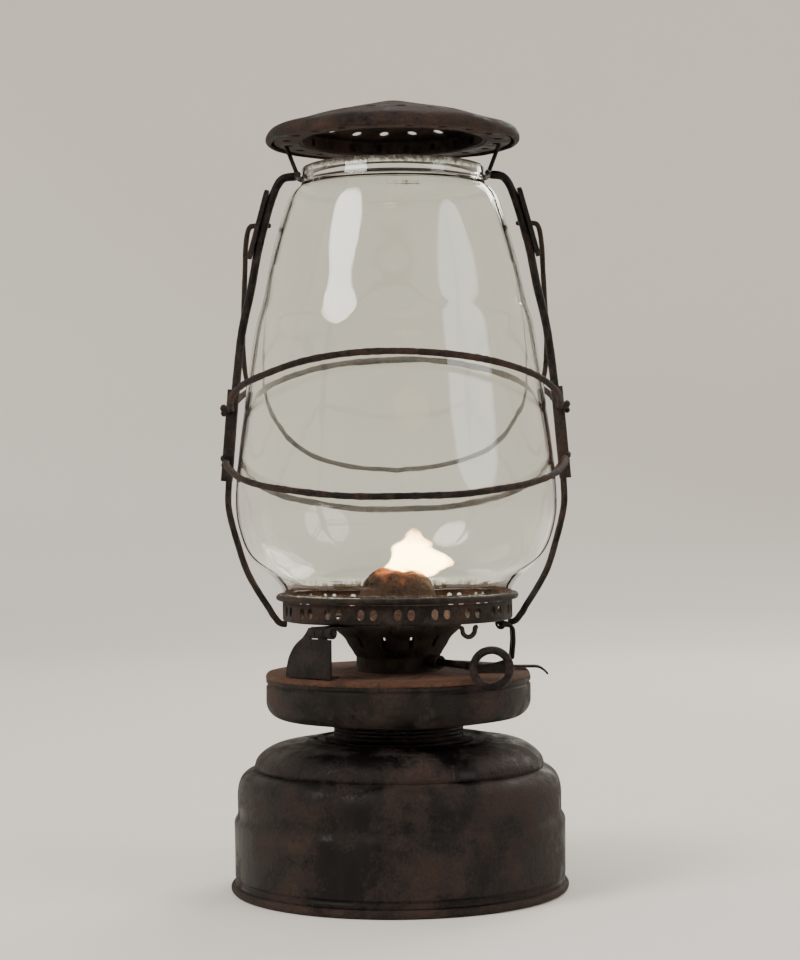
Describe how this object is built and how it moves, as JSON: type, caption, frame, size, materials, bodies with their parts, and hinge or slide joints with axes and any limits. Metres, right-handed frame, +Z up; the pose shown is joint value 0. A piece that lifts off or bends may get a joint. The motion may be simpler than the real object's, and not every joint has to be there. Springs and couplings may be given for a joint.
{
  "type": "oil_lamp",
  "caption": "Kerosene lantern: round fount, drum and burner, clear barrel globe in a hinged wire frame with guards, mushroom hood and wire bail.",
  "frame": {"origin": "centre of the fount's flat underside, on the surface the lantern stands on", "axes": "+Z up along the lantern's axis; -Y is the front, where the winder's ring faces; +X is the latch side"},
  "size_m": [0.133, 0.1475, 0.2987],
  "materials": {
    "blackened_tin": "sooty, worn",
    "rusted_tin": "rusted",
    "dark_wire": "rusted, dull",
    "dull_brass": "tarnished",
    "clear_glass": "clear, sooty at the top",
    "cotton": "woven",
    "cork": "matt"
  },
  "bodies": {
    "fount": {"foot_ring": "rusted_tin", "tank_bottom": "rusted_tin", "tank_shell": "blackened_tin", "tank_collar": "blackened_tin", "collar_gasket": "cork"},
    "head": {"drum_shell": "blackened_tin", "drum_lid": "rusted_tin", "screw_ferrule": "dull_brass", "burner_cup": "dull_brass", "air_plate": "dull_brass", "wick_tube": "dull_brass", "burner_cone": "rusted_tin", "winder_sleeve": "dull_brass", "hinge_bracket": "blackened_tin", "hinge_pin": "dark_wire", "latch_tongue": "rusted_tin"},
    "winder": {"winder_spindle": "dark_wire", "winder_ring": "dark_wire", "spur_wheel_1": "dull_brass", "spur_wheel_2": "dull_brass"},
    "wick": {"wick": "cotton"},
    "globe_frame": {"gallery": "blackened_tin", "gallery_rim": "blackened_tin", "gallery_tab": "dark_wire", "hinge_ears": "blackened_tin", "latch_lug": "blackened_tin", "globe": "clear_glass", "neck_ring": "dark_wire", "frame_wire_left": "dark_wire", "frame_wire_right": "dark_wire", "strut_left": "dark_wire", "strut_right": "dark_wire", "strap_left": "rusted_tin", "strap_right": "rusted_tin", "guard_upper_front": "dark_wire", "guard_upper_rear": "dark_wire", "guard_lower_front": "dark_wire", "guard_lower_rear": "dark_wire", "ear_left": "blackened_tin", "ear_right": "blackened_tin"},
    "latch": {"latch_link": "dark_wire"},
    "bail": {"bail": "dark_wire"},
    "hood": {"hood_top": "rusted_tin", "hood_skirt": "rusted_tin", "hood_deflector": "rusted_tin"}
  },
  "joints": [
    {"name": "head_unscrew", "type": "slide", "parent": "fount", "child": "head", "axis": [0, 0, 1], "range_m": [0, 0.06]},
    {"name": "winder_turn", "type": "hinge", "parent": "head", "child": "winder", "pos_m": [0.00411, 0.00247, 0.0867], "axis": [-0.515, 0.8572, 0], "range_deg": [-60, 130]},
    {"name": "wick_lift", "type": "slide", "parent": "head", "child": "wick", "axis": [0, 0, 1], "range_m": [-0.0037, 0.008]},
    {"name": "gallery_tilt", "type": "hinge", "parent": "head", "child": "globe_frame", "pos_m": [-0.02709, -0.03992, 0.0996], "axis": [0.7547, -0.6561, 0], "range_deg": [0, 70]},
    {"name": "latch_swing", "type": "hinge", "parent": "globe_frame", "child": "latch", "pos_m": [0.039, 0, 0.0997], "axis": [0, -1, 0], "range_deg": [0, 30]},
    {"name": "bail_swing", "type": "hinge", "parent": "globe_frame", "child": "bail", "pos_m": [0, 0.0042, 0.2523], "axis": [1, 0, 0], "range_deg": [0, 282]},
    {"name": "hood_lift", "type": "slide", "parent": "globe_frame", "child": "hood", "axis": [0, 0, 1], "range_m": [0, 0.03]}
  ],
  "couplings": [
    {"joint": "wick_lift", "follows": "winder_turn", "m_per_rad": 0.0035}
  ]
}
